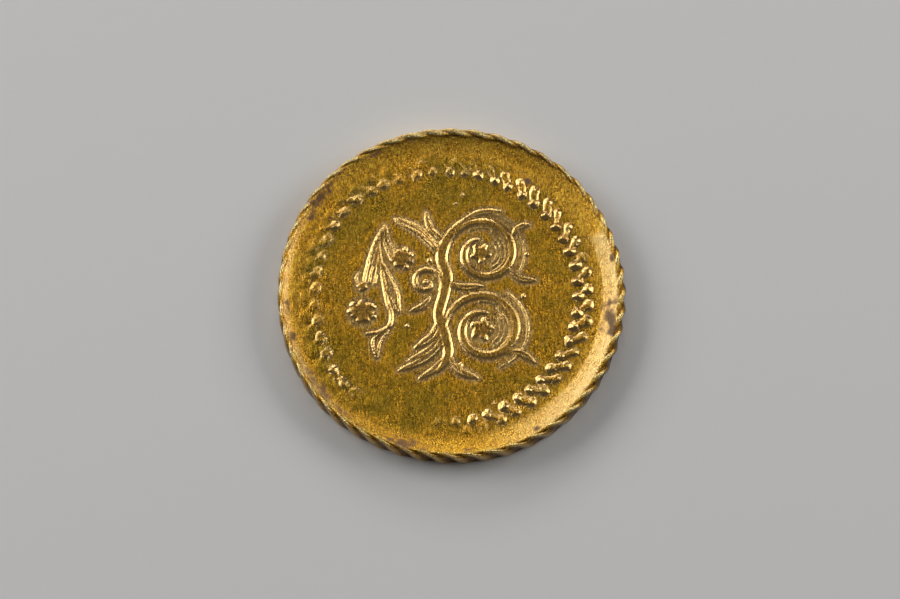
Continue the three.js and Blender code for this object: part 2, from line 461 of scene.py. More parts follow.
def scrolling_vine() -> Relief:
    """The vine: a waving stem, two large volutes and a small one, leaves, blossoms and beads.

    Returns:
        The vine's pieces.
    """
    stem = smooth_path([(-0.75, -4.4), (-0.15, -3.4), (-0.3, -2.3), (-0.62, -1.1), (-0.35, 0.1),
                        (-0.2, 1.1), (-0.5, 2.2), (-0.15, 3.3), (0.7, 4.35)], 80)
    low, high = (1.85, -1.95), (1.8, 2.4)
    return Relief(
        strokes=(
            Stroke(stem, 0.56, 0.090),
            Stroke(volute_path(*low, 2.2, 0.95, 190, -1.30), 0.42, 0.090),
            Stroke(volute_path(*high, 2.1, 0.85, 196, -1.25), 0.38, 0.090),
            Stroke(volute_path(-1.35, 0.75, 0.9, 0.3, -35, 1.1), 0.26, 0.085),
            arc(*low, 1.62, 100, -200, 0.11, 0.075, 0.30), arc(*low, 1.40, 60, -130, 0.09, 0.070, 0.10),
            arc(*low, 1.15, 50, -110, 0.09, 0.070, 0.10), arc(*low, 0.90, 45, -100, 0.08, 0.065, 0.08),
            arc(*high, 1.52, 120, -200, 0.11, 0.075, 0.30), arc(*high, 1.28, 70, -140, 0.09, 0.070, 0.15),
            arc(*high, 1.02, 50, -110, 0.09, 0.070, 0.10), arc(*high, 0.78, 45, -90, 0.08, 0.065, 0.08),
            arc(*low, 2.42, 60, -128, 0.10, 0.075, 0.15), arc(*high, 2.32, 100, -130, 0.09, 0.070, 0.12),
            leaf((-0.5, 2.3), (-3.05, 4.4), 0.52, -0.1, 0.092, 0.06),
            leaf((-0.3, 3.1), (-1.35, 4.75), 0.38, 0.14, 0.086),
            leaf((0.5, 4.15), (2.75, 4.85), 0.32, 0.1, 0.086),
            leaf((-0.5, -1.2), (-1.95, -3.0), 0.46, 0.14, 0.092),
            leaf((-0.3, -1.9), (-2.3, -3.7), 0.34, 0.12, 0.086),
            leaf((-0.2, -2.4), (-2.8, -4.25), 0.40, 0.1, 0.092, 0.06),
            leaf((-0.35, -3.5), (-1.7, -4.7), 0.34, 0.1, 0.086),
            leaf((-0.2, -3.3), (1.5, -4.7), 0.44, -0.14, 0.092),
            leaf((3.2, 1.5), (4.65, 0.85), 0.34, -0.16, 0.086),
            leaf((2.75, -3.3), (4.6, -3.85), 0.34, 0.16, 0.086),
            leaf((3.35, 3.45), (4.35, 4.05), 0.28, 0.16, 0.081),
            leaf((-0.25, 0.75), (1.75, 0.55), 0.36, -0.1, 0.086),
            leaf((0.35, 0.55), (1.5, -0.05), 0.24, -0.1, 0.081),
            leaf((-1.1, -0.1), (-2.2, -0.9), 0.30, 0.12, 0.081),
        ),
        blossoms=(
            Blossom(low[0] - 0.15, low[1], 0.62, 5, 0.095, beads=(150.0, 220.0, 290.0, 10.0, 80.0)),
            Blossom(high[0] - 0.15, high[1], 0.54, 5, 0.09, beads=(130.0, 200.0, 270.0, 350.0, 60.0)),
        ),
        beads=((0.55, -3.95, 0.16), (-1.15, 2.0, 0.17), (3.95, -0.05, 0.17), (-1.35, 0.75, 0.2),
               (4.15, 2.35, 0.15), (-2.35, -1.75, 0.15),
               (0.66, 5.80, 0.10), (0.30, 5.28, 0.09), (2.35, -6.1, 0.08)),
    )


# ---------------------------------------------------------------- the coin's surface
class Facing(Enum):
    """Which way a disc of the coin looks, as the step through its quads' corners."""

    UP = 1
    DOWN = -1


@dataclass(frozen=True)
class LinkRing:
    """The ring of twisted links: slanting flat-topped bodies with a knob at each end.

    Attributes:
        links: How many links.
        radius: Radius of the ring's middle.
        reach: How far the knobs' middles lie from the ring's middle.
        lean: Sideways run of a link for each millimetre outwards.
        knob: Radius of a knob.
        body: Half width of the body at its foot.
        flank: Width of the body's sloping sides.
        relief: Height over the field.
        shift: How far the ring is struck off the coin's middle, x and y.
        uneven: Bells that push the ring outwards or inwards.
        knob_change: Bells that make the knobs bigger or smaller.
        seed: Picks the small differences from link to link.
    """

    links: int = 50
    radius: float = 7.42
    reach: float = 0.27
    lean: float = 1.0
    knob: float = 0.32
    body: float = 0.27
    flank: float = 0.14
    relief: float = 0.165
    shift: tuple[float, float] = (-0.26, -0.17)
    uneven: Bells = ((0.26, 138.0, 18.0), (0.30, 222.0, 20.0), (-0.18, 308.0, 28.0))
    knob_change: Bells = ((-0.09, 55.0, 40.0), (0.03, 175.0, 60.0))
    seed: int = 11

    def middle(self, angle: Array) -> Array:
        """Radius of the ring's middle: a shifted circle that was struck unevenly at three places."""
        shifted = self.radius + self.shift[0] * np.cos(angle) + self.shift[1] * np.sin(angle)
        return shifted + bumps(angle, *self.uneven)

    def height(self, x: Array, y: Array, strike: Array) -> Array:
        """Height over the field of the nearest link.

        The body is a flat-topped bar whose four sides fall in straight lines; a knob is a blunt
        cone, lower and drawn out along the ring on the left. All outlines are worn a little
        unevenly. Each link is moved, turned and sized by numbers drawn from its place in the
        ring.

        Args:
            x, y: The places.
            strike: How well the die filled there, 0 to 1.

        Returns:
            The height, in millimetres.
        """
        angle = np.arctan2(y, x)
        out = np.hypot(x, y) - self.middle(angle)
        pitch = 2 * math.pi * self.radius / self.links
        position = angle * self.links / (2 * math.pi)
        nearest = np.round(position - self.lean * out / pitch)
        knob = self.knob + bumps(angle, *self.knob_change)
        far = self.reach * np.hypot(1.0, self.lean) + 0.12
        worn = 0.10 * cloud(places_of(x, y), 0.34, 2, self.seed + 5) - 0.05
        left = round_bump(angle, 178.0, 62.0)
        soft = 1.0 - 0.28 * round_bump(angle, 172.0, 60.0)
        best = np.zeros_like(x)
        for neighbour in (-1, 0, 1):
            link = nearest + neighbour
            whole = (link % self.links).astype(np.int64)
            zero = np.zeros_like(whole)
            along_by, out_by, lean_by, size_by, end_by = (
                lattice(whole, zero + i, zero, self.seed) - 0.5 for i in range(5))
            side = (position - link) * pitch + 0.10 * along_by
            across = out + 0.07 * out_by
            lean = self.lean * (1 + 0.35 * lean_by)
            size = 1 + 0.30 * size_by
            along = np.abs(side * lean + across) / np.hypot(1.0, lean)
            wide = np.abs(side - lean * across) / np.hypot(1.0, lean)
            inside = np.minimum(self.body * size - wide, far - along) + worn
            bar = (0.58 - 0.06 * left) * np.clip(inside / self.flank, 0.0, 1.0)
            best = np.maximum(best, bar)
            for end in (-1.0, 1.0):
                off = np.hypot((side - lean * end * self.reach) * (1 - 0.25 * left),
                               across - end * self.reach) + worn
                tall = (1.05 - 0.22 * end + 0.30 * end_by * end) * soft
                best = np.maximum(best, tall * np.clip(1.15 * (1.0 - off / (knob * size)), 0.0, 1.0))
        return self.relief * strike * best


@dataclass(frozen=True)
class RopeEdge:
    """The lip and edge, worked into a slanting rope.

    Attributes:
        strands: How many strands go round.
        depth: Mean depth of the grooves between them.
        wear: How much deeper or shallower the grooves are on two opposite sides.
        deepest: Where they are deepest, in degrees.
        lean: Sideways run of a strand for each millimetre down the wall.
        lean_top: The same over the lip, where the strands lie flatter.
    """

    strands: int = 48
    depth: float = 0.125
    wear: float = 0.50
    deepest: float = -45.0
    lean: float = 0.75
    lean_top: float = 1.25

    def groove(self, angle: Array, along: Array) -> Array:
        """Depth below the strands' crests: one less the size of a cosine of the strand's phase.

        Args:
            angle: Angle round the coin.
            along: Distance along the section from the outer corner, inwards below 0, in millimetres.

        Returns:
            The depth, in millimetres.
        """
        crowded = math.radians(4.2) * round_bump(angle, 38.0, 38.0)
        run = np.where(along < 0.0, self.lean_top, self.lean) * along
        turn = angle + crowded + math.radians(0.3) - run / RADIUS
        ridge = np.abs(np.cos(self.strands / 2 * turn))
        uneven = 1.0 + 0.25 * np.sin(7 * angle + 1.0) * np.sin(3 * angle)
        cut = 1 + self.wear * np.cos(angle - math.radians(self.deepest))
        cut = cut + 0.35 * round_bump(angle, 132.0, 25.0)
        return self.depth * uneven * cut * (1.0 - ridge) ** 0.8


@dataclass
class StruckCoin:
    """The whole coin as one closed skin: upper face, rope edge and reverse.

    Attributes:
        cells: Cells along the square grid that is drawn out into the upper disc.
        seam: Radius where the disc meets the rings of the slope.
        shoulder: How far the lip's crest lies inside the widest place.
        squareness: Power of the superellipse round the outside.
        lip_share: Share of the edge's rings that climb the lip's inner side.
        lip_run: Length of the section over the lip, as the rope sees it.
        wall_run: The same down the outside.
        deep_groove: Depth of a deep groove, which the grooves' marks are measured by.
        near_by: Distance of the neighbours that tell how hollow a place is.
        die_shift: How far the raised groups are struck off the coin's middle.
        bulges, dents: Bells that push the outline outwards and inwards.
        lip_widening: Bells that widen the lip, as shares of the radius.
        lip_dips: Bells that lower the lip's inner edge, as shares of the field's depth.
        weak_strikes: Bells where the links are poorly struck.
        highlight_under_lip: Bells where the slope under the lip is painted pale as a highlight.
        wall_shade: Bells that make the outer wall's painted shade darker or lighter.
        dirt_marks: Angle, radius, and reach along and across, of each mark of old dirt.
        slope_rows: Rows of the mesh on the slope outside the seam.
        edge_rows: Rows from the lip's inner edge to the underside.
        standing: Radii of the flat ring that the coin stands on, outer and inner.
        reverse_rows: Radii of the rows down into the reverse's field.
        reverse_seam: Radius of the reverse's disc.
        reverse_petals: Petals of the reverse's flower.
        reverse_links: The plainer ring of links on the reverse.
        links: The ring of links on the upper face.
        rope: The rope round the edge.
        reliefs: The raised groups on the upper field.
    """

    cells: int = 240
    seam: float = 8.1
    shoulder: float = 0.17
    squareness: float = 2.8
    lip_share: float = 0.32
    lip_run: float = 0.55
    wall_run: float = 1.5
    deep_groove: float = 0.19
    near_by: float = 0.085
    die_shift: tuple[float, float] = (-0.06, -0.155)
    bulges: Bells = ((0.09, 222.0, 18.0), (0.06, 296.0, 20.0))
    dents: Bells = ((0.06, 24.0, 14.0), (0.04, 170.0, 16.0))
    lip_widening: Bells = ((0.018, -10.0, 38.0), (0.020, 88.0, 28.0))
    lip_dips: Bells = ((0.28, 75.0, 42.0), (0.22, 174.0, 36.0))
    weak_strikes: Bells = ((0.52, 98.0, 32.0), (0.26, 184.0, 50.0), (1.00, 246.0, 18.0),
                           (0.45, 275.0, 14.0))
    highlight_under_lip: Bells = ((0.75, 176.0, 22.0), (0.80, 212.0, 16.0))
    wall_shade: Bells = ((0.26, -12.0, 45.0), (0.16, 190.0, 35.0), (-0.85, 97.0, 42.0))
    dirt_marks: tuple[tuple[float, float, float, float], ...] = (
        (143.0, 8.98, 0.62, 0.19), (137.0, 9.02, 0.44, 0.15), (150.0, 8.80, 0.26, 0.14),
        (186.3, 8.86, 0.24, 0.18), (196.5, 8.90, 0.24, 0.17), (213.7, 8.94, 0.30, 0.17),
        (220.0, 8.92, 0.38, 0.24), (227.4, 8.97, 0.30, 0.15), (255.2, 8.93, 0.50, 0.22),
        (248.5, 9.00, 0.16, 0.09), (276.0, 8.95, 0.16, 0.08), (350.5, 8.68, 0.52, 0.34),
        (346.0, 8.86, 0.34, 0.20), (57.0, 7.70, 0.15, 0.11), (104.0, 8.90, 0.22, 0.07),
        (301.0, 9.00, 0.12, 0.07), (12.0, 8.90, 0.14, 0.07), (118.0, 8.95, 0.24, 0.08))
    slope_rows: int = 12
    edge_rows: int = 21
    standing: tuple[float, float] = (8.95, 8.80)
    reverse_rows: tuple[float, ...] = (8.70, 8.60, 8.50, 8.38)
    reverse_seam: float = 8.2
    reverse_petals: int = 8
    reverse_links: LinkRing = LinkRing(lean=-1.0, relief=0.1, shift=(0.0, 0.0))
    links: LinkRing = field(default_factory=LinkRing)
    rope: RopeEdge = field(default_factory=RopeEdge)
    reliefs: tuple[Relief, ...] = field(default_factory=lambda: (flower_sprig(), scrolling_vine()))

    # -------- where the lip and its slope lie
    def out_of_round(self, angle: Array) -> Array:
        """How far the hand-cut blank stands outside or inside a true circle.

        Args:
            angle: Angles round the coin.

        Returns:
            Millimetres outwards.
        """
        oval = 0.035 * np.cos(2 * (angle + math.radians(32.0)))
        return oval + bumps(angle, *self.bulges) - bumps(angle, *self.dents)

    def crisp(self, angle: Array) -> Array:
        """Where the slope has a crisp foot: 1 from minus 40 to 21 degrees, 0 at the far side."""
        away = turned(angle, -20.0)
        return smoothstep(44.5, 40.5, away) * smoothstep(-62.0, -20.0, away)

    def slope_foot(self, angle: Array) -> Array:
        """Radius where the field ends and the slope to the lip begins."""
        return RADIUS * (0.835 + 0.023 * self.crisp(angle) + 0.03 * round_bump(angle, 180.0, 40.0))

    def lip_inner(self, angle: Array) -> Array:
        """Radius of the lip's inner edge, where the rope begins."""
        return RADIUS * (0.960 - bumps(angle, *self.lip_widening)) + self.out_of_round(angle)

    def lip_rise(self, angle: Array) -> Array:
        """Share of the field's depth that the slope has climbed where the rope begins."""
        return 0.80 - bumps(angle, *self.lip_dips)

    # -------- the upper face as a height over x and y
    def strike(self, angle: Array) -> Array:
        """How well the ring of links is struck round the coin, 0 to 1."""
        return np.clip(1.0 - bumps(angle, *self.weak_strikes), 0.0, 1.0)

    def upper_height(self, x: Array, y: Array) -> tuple[Array, Array, Array]:
        """Height of the upper face, with its relief and how close each place is to the relief.

        The field is flat but for slow waves. From the slope's foot it climbs as a power of the
        share of the way to the lip's inner edge. Relief and links stand on it.

        Args:
            x, y: The places, in millimetres.

        Returns:
            The height, the relief's own height, and the nearness to relief.
        """
        radius, angle = np.hypot(x, y), np.arctan2(y, x)
        flat = places_of(x, y)
        foot, inner = self.slope_foot(angle), self.lip_inner(angle)
        climb = np.clip((radius - foot) / (inner - foot), 0.0, 1.0)
        eased = climb ** (1.8 - 0.75 * self.crisp(angle) + 1.3 * round_bump(angle, 180.0, 42.0))
        lines_round = 0.007 * cloud(places_of(radius * 7.0, angle * 3.0), 1.0, 2, 55)
        slope = (HEIGHT - OBVERSE_Z) * self.lip_rise(angle) * eased
        slope = slope + lines_round * smoothstep(0.0, 0.1, climb)
        waves = 0.016 * cloud(flat, 3.4, 2, 5) * smoothstep(8.6, 7.2, radius)
        relief, near = np.zeros_like(x), np.zeros_like(x)
        for group in self.reliefs:
            height, close = group.raise_from(x - self.die_shift[0], y - self.die_shift[1])
            relief, near = np.maximum(relief, height), np.maximum(near, close)
        chain = self.links.height(x, y, self.strike(angle))
        relief = np.maximum(relief, chain)
        pits = -0.012 * smoothstep(0.35, 0.75, cloud(flat, 0.55, 3, 21)) * (relief < 0.02)
        fine = 0.0035 * cloud(flat, 0.2, 2, 33)
        return OBVERSE_Z + slope + waves + relief + pits + fine, relief, near

    # -------- the section from the lip over the edge to the underside
    def edge_section(self, angle: Array, share: float) -> tuple[Array, Array, Array]:
        """One ring of the edge, at a share of the way from the lip's inner edge to the underside.

        The first part is a quarter ellipse from the lip's inner edge up to its crest. The rest is
        half a superellipse round the outside. The strands' grooves are cut against the section's
        outward direction.

        Args:
            angle: Angles round the coin.
            share: 0 at the lip's inner edge, 1 where the edge meets the underside.

        Returns:
            The ring's radius, its height, and the groove's depth over a deep groove's.
        """
        inner = self.lip_inner(angle)
        outer = RADIUS - 0.035 + self.out_of_round(angle)
        crest = outer - self.shoulder
        start_z = OBVERSE_Z + (HEIGHT - OBVERSE_Z) * self.lip_rise(angle)
        if share < self.lip_share:
            turn = math.pi / 2 * share / self.lip_share
            radius = crest - (crest - inner) * math.cos(turn)
            height = start_z + (HEIGHT - start_z) * math.sin(turn)
            out_r, out_z = -math.cos(turn), math.sin(turn)
            along = -self.lip_run * (1 - share / self.lip_share)
        else:
            turn = math.pi / 2 - math.pi * (share - self.lip_share) / (1 - self.lip_share)
            cos, sin = max(math.cos(turn), 0.0), math.sin(turn)
            radius = crest + self.shoulder * cos ** (2 / self.squareness)
            level = math.copysign(abs(sin) ** (2 / self.squareness), sin)
            height = np.full_like(angle, HEIGHT / 2 * (1 + level))
            out_r, out_z = cos ** 0.5, sin
            along = self.wall_run * (share - self.lip_share) / (1 - self.lip_share)
        fade = smoothstep(-0.05, 0.10, share) * (1 - 0.75 * smoothstep(0.86, 1.0, share))
        groove = self.rope.groove(angle, np.full_like(angle, along)) * fade
        return radius - groove * out_r, height - groove * max(out_z, 0.0), groove / self.deep_groove

    # -------- reverse
    def reverse_height(self, x: Array, y: Array) -> Array:
        """Height of the lower face: a shallow field with a plainer ring and a petalled flower.

        A petal is a smooth mound on an oval that points outwards, and the eye is a round mound.

        Args:
            x, y: The places, in millimetres.

        Returns:
            The height.
        """
        radius, angle = np.hypot(x, y), np.arctan2(y, x)
        slope = REVERSE_Z * smoothstep(8.79, 8.36, radius)
        chain = self.reverse_links.height(x, y, np.full_like(x, 0.9))
        sector = 2 * math.pi / self.reverse_petals
        px, py = on_circle(radius, (angle + sector / 2) % sector - sector / 2)
        petal = np.clip(1 - ((px - 1.85) / 1.30) ** 2 - (py / 0.68) ** 2, 0, 1) ** 1.5
        eye = np.clip(1 - (radius / 0.80) ** 2, 0, 1) ** 1.5
        flower = self.reverse_links.relief * np.maximum(petal, 1.2 * eye)
        return np.maximum(slope - chain - flower, 0.0)

    # -------- the mesh
    def spots(self, x: Array, y: Array) -> Array:
        """Old dirt: ragged dark marks along the foot of the lip, longer round the coin than across.

        Each mark is an oval given by its angle, its radius, and its reach along and across.

        Args:
            x, y: The places, in millimetres.

        Returns:
            How dirty each place is, 0 to 1.
        """
        radius, angle = np.hypot(x, y), np.arctan2(y, x)
        ragged = 1.25 * cloud(places_of(x, y), 0.30, 3, 71) - 0.15
        total = np.zeros_like(x)
        for centre, place, along, across in self.dirt_marks:
            side = np.radians(turned(angle, centre)) * radius / (1.5 * along)
            out = (radius - place) / (1.15 * across)
            total = np.maximum(total, smoothstep(1.35, 0.10, np.hypot(side, out) + ragged))
        return total

    def rubbed_and_highlight(self, radius: Array, angle: Array) -> Array:
        """Where the slope is painted pale as a highlight: all of the crisp side, and two stretches under
        the lip.

        Args:
            radius, angle: The places.

        Returns:
            How much painted highlight each place takes, 0 to 1.
        """
        foot = self.slope_foot(angle)
        climb = (radius - foot) / (self.lip_inner(angle) - foot)
        crisp = self.crisp(angle) * smoothstep(0.0, 0.06, radius - foot)
        crisp = crisp * (0.55 + 0.45 * smoothstep(0.1, 0.9, climb))
        highlight_under_lip = bumps(angle, *self.highlight_under_lip) * smoothstep(0.60, 0.90, climb)
        return np.maximum(crisp, highlight_under_lip)

    def shaded(self, x: Array, y: Array) -> Array:
        """Where the blossoms' petals take painted shade: 1 over their middles, 0 at their edges.

        Args:
            x, y: The places.

        Returns:
            The share, 0 to 1.
        """
        total = np.zeros_like(x)
        for group in self.reliefs:
            for blossom in group.blossoms:
                share = blossom.lobed(x - self.die_shift[0], y - self.die_shift[1])
                total = np.maximum(total, smoothstep(1.0, 0.75, share))
        return total

    def upper_skin(self, x: Array, y: Array) -> tuple[Array, dict[str, Array]]:
        """Heights and surface marks of the upper face.

        A place is hollow by as much as the mean height of eight neighbours lies above its own, and
        its flank mark tells how steeply the heights on either side of it differ.

        Args:
            x, y: The places.

        Returns:
            The heights, and the marks by name.
        """
        height, relief, near = self.upper_height(x, y)
        steps = (on_circle(self.near_by, eighth * math.pi / 4) for eighth in range(8))
        beside = [self.upper_height(x + dx, y + dy)[0] for dx, dy in steps]
        around = sum(beside) / len(beside)
        steep = np.hypot(beside[0] - beside[4], beside[2] - beside[6]) / (2 * self.near_by)
        radius, angle = np.hypot(x, y), np.arctan2(y, x)
        foot = self.slope_foot(angle)
        marks = {
            "relief": np.clip(relief / 0.11, 0.0, 1.2),
            "near": near,
            # Hollow places, and the blossoms' middles, take painted shade in the material; places above
            # their neighbours take pale paint, partly wear and partly painted highlight.
            "hollow": np.clip((around - height) / 0.025 + 0.5 * self.shaded(x, y), -1.0, 1.0),
            "outer": smoothstep(0.3, 1.1, radius - self.links.middle(angle)),
            "dirt": self.spots(x, y),
            # Steep flanks are painted pale in the material, as a highlight.
            "flank": smoothstep(0.20, 0.50, steep) * (radius < foot),
            "climb": np.clip((radius - foot) / (self.lip_inner(angle) - foot), 0.0, 1.0),
            # The lit side of the slope and two stretches under the lip are painted pale, as a highlight.
            "painted_highlight": self.rubbed_and_highlight(radius, angle),
        }
        return height, marks

    def build(self) -> bpy.types.Object:
        """Builds the closed skin: disc, slope, lip and edge, underside, reverse disc.

        The upper disc is a square grid drawn out to a circle, whose border gives the columns of
        all rows that follow. Three columns become one before the reverse, which is a coarser
        disc of the same kind.

        Returns:
            The coin's object.
        """
        columns = 4 * self.cells
        angle = -math.pi / 4 + 2 * math.pi * np.arange(columns) / columns
        skin = Skin()
        ring = self.add_upper_face(skin, angle)
        ring = self.add_edge(skin, ring, angle)
        self.add_reverse(skin, ring, angle)
        return skin.to_object("coin_struck")

    def add_upper_face(self, skin: "Skin", angle: Array) -> Array:
        """Adds the field's disc and the slope's rows, out to the lip's inner edge.

        Args:
            skin: The skin to grow.
            angle: Angles of the columns.

        Returns:
            The last ring's indices.
        """
        x, y = (part * self.seam for part in disc_grid(self.cells))
        height, marks = self.upper_skin(x, y)
        skin.add(places_of(x, y, height), marks)
        skin.grid_faces(0, self.cells, Facing.UP)
        ring = disc_border(self.cells)
        for row in range(1, self.slope_rows + 1):
            radius = self.seam + (self.lip_inner(angle) - self.seam) * row / self.slope_rows
            x, y = on_circle(radius, angle)
            height, marks = self.upper_skin(x, y)
            ring = skin.add_ring(ring, places_of(x, y, height), marks)
        return ring

    def add_edge(self, skin: "Skin", ring: Array, angle: Array) -> Array:
        """Adds the rows over the lip and down the outside, a little rough, to the underside.

        Args:
            skin: The skin to grow.
            ring: The last ring's indices.
            angle: Angles of the columns.

        Returns:
            The new last ring's indices.
        """
        for row in range(1, self.edge_rows + 1):
            share = row / self.edge_rows
            radius, height, groove = self.edge_section(angle, share)
            x, y = on_circle(radius, angle)
            rough = 1 + 0.006 * cloud(places_of(x, y, height), 0.5, 2, 41) / RADIUS
            marks = self.edge_marks(x, y, groove, share)
            ring = skin.add_ring(ring, places_of(x * rough, y * rough, height), marks)
        return ring

    def edge_marks(self, x: Array, y: Array, groove: Array, share: float) -> dict[str, Array]:
        """Surface marks of one of the edge's rows: painted shade in the grooves and on the outer wall,
        and a painted highlight on the far lip.

        Args:
            x, y: The row's places.
            groove: How deep the rope is cut there.
            share: The row's share of the way to the underside.

        Returns:
            The marks by name.
        """
        angle = np.arctan2(y, x)
        outside = smoothstep(0.30, 0.46, share)
        # The outer wall is painted dark as shade, less so on the far side.
        wall_shade = 0.72 + bumps(angle, *self.wall_shade)
        # Painted shadow: a dark step just inside the lip on the far side, and painted shade on the
        # outside at the right.
        step = round_bump(angle, 84.0, 38.0) * (share < 0.14) * (0.75 + 0.35 * np.cos(24 * angle))
        step = step + 0.55 * round_bump(angle, 0.0, 32.0) * outside
        return {
            # Grooves, and the step, take painted shade in the material.
            "hollow": np.clip(2.4 * groove - 0.7 + 1.1 * step, -1, 1),
            "climb": np.ones_like(x),
            "outer": np.ones_like(x),
            "dirt": self.spots(x, y) * (share < 0.3),
            "edge": np.full_like(x, share),
            "wall": outside * np.maximum(wall_shade, 0) * np.clip(0.55 + groove, 0, 1),
            # The far lip is painted pale, as a highlight.
            "painted_highlight": round_bump(angle, 97.0, 40.0) * smoothstep(0.10, 0.30, share),
        }

    def add_reverse(self, skin: "Skin", ring: Array, angle: Array) -> None:
        """Adds the flat ring that the coin stands on, then the reverse on a third of the columns.

        Args:
            skin: The skin to grow.
            ring: The last ring's indices.
            angle: Angles of the columns.
        """
        third = angle[::3]
        outer, inner = (places_of(*on_circle(radius, turn))
                        for radius, turn in zip(self.standing, (angle, third)))
        ring = skin.add_ring(ring, outer, {"climb": np.ones(len(outer))})
        ring = skin.gather_ring(ring, inner, {"climb": np.ones(len(inner))})
        for radius in self.reverse_rows:
            x, y = on_circle(radius, third)
            ring = skin.add_ring(ring, places_of(x, y, self.reverse_height(x, y)), {})
        cells = len(third) // 4
        x, y = (part * self.reverse_seam for part in disc_grid(cells))
        start = skin.add(places_of(x, y, self.reverse_height(x, y)), {})
        skin.grid_faces(start, cells, Facing.DOWN)
        skin.ring_faces(ring, disc_border(cells) + start)


def disc_grid(cells: int) -> tuple[Array, Array]:
    """A square grid drawn out to a unit disc.

    A place whose larger coordinate is a and smaller is b goes to radius a, turned from its
    axis by 45 degrees times b over a, so the square's border becomes an even circle.

    Args:
        cells: Cells along a side.

    Returns:
        The x and y of the grid's corners, row by row.
    """
    side = np.linspace(-1.0, 1.0, cells + 1)
    b, a = (part.ravel() for part in np.meshgrid(side, side, indexing="ij"))
    wide = np.abs(a) >= np.abs(b)
    major = np.where(wide, a, b)
    minor = np.where(wide, b, a)
    turn = math.pi / 4 * minor / np.where(major == 0.0, 1.0, major)
    cos, sin = major * np.cos(turn), major * np.sin(turn)
    return np.where(wide, cos, sin), np.where(wide, sin, cos)


def disc_border(cells: int) -> Array:
    """Indices of the grid's border, anticlockwise from the corner at minus 45 degrees.

    Args:
        cells: Cells along the grid's side.

    Returns:
        The indices.
    """
    n, i = cells + 1, np.arange(cells)
    right, top = i * n + cells, cells * n + cells - i
    left, bottom = (cells - i) * n, i
    return np.concatenate([right, top, left, bottom])


class Skin:
    """A closed skin that grows ring by ring, with named marks at its points."""

    MARKS = ("relief", "near", "hollow", "dirt", "flank", "climb", "edge", "wall", "painted_highlight", "outer")

    def __init__(self) -> None:
        """Starts with no points and no faces."""
        self.points: list[Array] = []
        self.marks: dict[str, list[Array]] = {name: [] for name in self.MARKS}
        self.quads: list[Array] = []
        self.triangles: list[Array] = []
        self.count = 0

    def add(self, points: Array, marks: dict[str, Array]) -> int:
        """Adds points in millimetres, with their marks.

        Args:
            points: Rows of x, y and z.
            marks: Values by mark; a mark left out is 0.

        Returns:
            Index of the first new point.
        """
        start = self.count
        self.points.append(points)
        for name in self.MARKS:
            self.marks[name].append(marks.get(name, np.zeros(len(points))))
        self.count += len(points)
        return start

    def grid_faces(self, start: int, cells: int, facing: Facing) -> None:
        """Fills a square grid of points with quads that look up or down.

        Args:
            start: Index of the grid's first point.
            cells: Cells along its side.
            facing: Which way it looks.
        """
        row, column = (part.ravel() for part in np.indices((cells, cells)))
        a = start + row * (cells + 1) + column
        quad = np.stack([a, a + 1, a + cells + 2, a + cells + 1], 1)
        self.quads.append(quad[:, ::facing.value])

    def ring_faces(self, inner: Array, outer: Array) -> None:
        """Joins two rings of as many points with quads that look away from the coin's inside."""
        self.quads.append(np.stack([inner, outer, np.roll(outer, -1), np.roll(inner, -1)], 1))

    def add_ring(self, ring: Array, points: Array, marks: dict[str, Array]) -> Array:
        """Adds a ring and joins it to the last one.

        Args:
            ring: The last ring's indices.
            points: The new ring's points.
            marks: Its marks.

        Returns:
            The new ring's indices.
        """
        following = self.add(points, marks) + np.arange(len(points))
        self.ring_faces(ring, following)
        return following

    def gather_ring(self, ring: Array, points: Array, marks: dict[str, Array]) -> Array:
        """Adds a ring with a third as many points: a triangle, a quad and a triangle for each.

        Args:
            ring: The last ring's indices.
            points: The new ring's points.
            marks: Its marks.

        Returns:
            The new ring's indices.
        """
        here = self.add(points, marks) + np.arange(len(points))
        there = np.roll(here, -1)
        a, b, c, d = ring[0::3], ring[1::3], ring[2::3], np.roll(ring[0::3], -1)
        self.triangles += [np.stack([a, here, b], 1), np.stack([c, there, d], 1)]
        self.quads.append(np.stack([b, here, there, c], 1))
        return here

    def to_object(self, name: str) -> bpy.types.Object:
        """Makes the smooth-shaded mesh, in metres, with a float attribute for each mark.

        Args:
            name: The object's name.

        Returns:
            The object, linked to the scene.
        """
        points = np.concatenate(self.points) * MM
        quads, triangles = np.concatenate(self.quads), np.concatenate(self.triangles)
        mesh = bpy.data.meshes.new(name)
        mesh.vertices.add(len(points))
        mesh.vertices.foreach_set("co", points.astype(np.float32).ravel())
        mesh.loops.add(quads.size + triangles.size)
        corners = np.concatenate([quads.ravel(), triangles.ravel()])
        mesh.loops.foreach_set("vertex_index", corners.astype(np.int32))
        mesh.polygons.add(len(quads) + len(triangles))
        starts = np.concatenate([np.arange(len(quads)) * 4,
                                 quads.size + np.arange(len(triangles)) * 3])
        mesh.polygons.foreach_set("loop_start", starts.astype(np.int32))
        mesh.update(calc_edges=True)
        mesh.polygons.foreach_set("use_smooth", np.ones(len(mesh.polygons), bool))
        for mark, parts in self.marks.items():
            layer = mesh.attributes.new(mark, "FLOAT", "POINT")
            layer.data.foreach_set("value", np.concatenate(parts).astype(np.float32))
        mesh.validate()
        log.info("%s: %d triangles", name, 2 * len(quads) + len(triangles))
        return linked(name, mesh)


